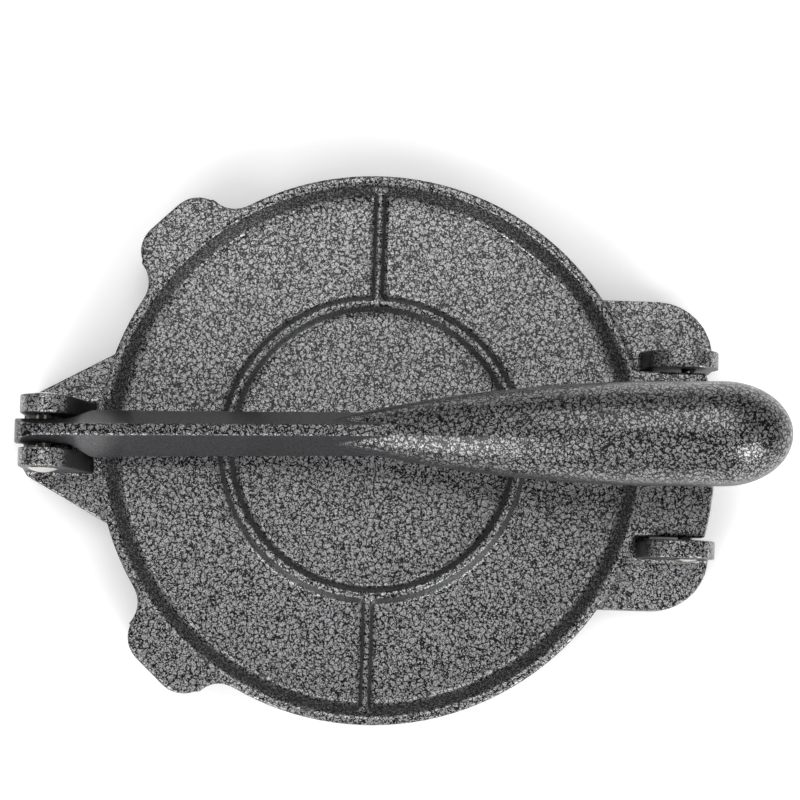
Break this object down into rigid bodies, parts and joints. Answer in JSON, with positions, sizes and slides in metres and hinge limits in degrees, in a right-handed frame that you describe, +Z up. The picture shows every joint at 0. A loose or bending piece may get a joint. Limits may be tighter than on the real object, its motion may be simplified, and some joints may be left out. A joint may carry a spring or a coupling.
{
  "type": "tortilla press",
  "caption": "Cast tortilla press: two hinged round plates, closed by a pivoted lever with a bulb handle whose nose presses on the upper plate's rim.",
  "frame": {"origin": "on the table, under the middle of the closed press", "axes": "+Z up, +X from the lever's clevis towards the handle and the hinge, +Y to the left of that direction"},
  "size_m": [0.2265, 0.166, 0.0732],
  "materials": {
    "hammertone": "glossy grey hammertone enamel with dark veins over a casting",
    "pin_steel": "bare steel, domed riveted heads"
  },
  "bodies": {
    "base": {"base_plate": "hammertone", "lever_pin": "pin_steel", "hinge_pin": "pin_steel"},
    "plate": {"upper_plate": "hammertone"},
    "lever": {"press_lever": "hammertone"}
  },
  "joints": [
    {"name": "lever_swing", "type": "hinge", "parent": "base", "child": "lever", "pos_m": [-0.10424, 0.00055, 0.0333], "axis": [0, -1, 0], "range_deg": [0, 175]},
    {"name": "plate_hinge", "type": "hinge", "parent": "base", "child": "plate", "pos_m": [0.08716, 0.00055, 0.0184], "axis": [0, 1, 0], "range_deg": [0, 110]}
  ],
  "couplings": [
    {"joint": "plate_hinge", "follows": "lever_swing", "ratio": 0.09}
  ]
}
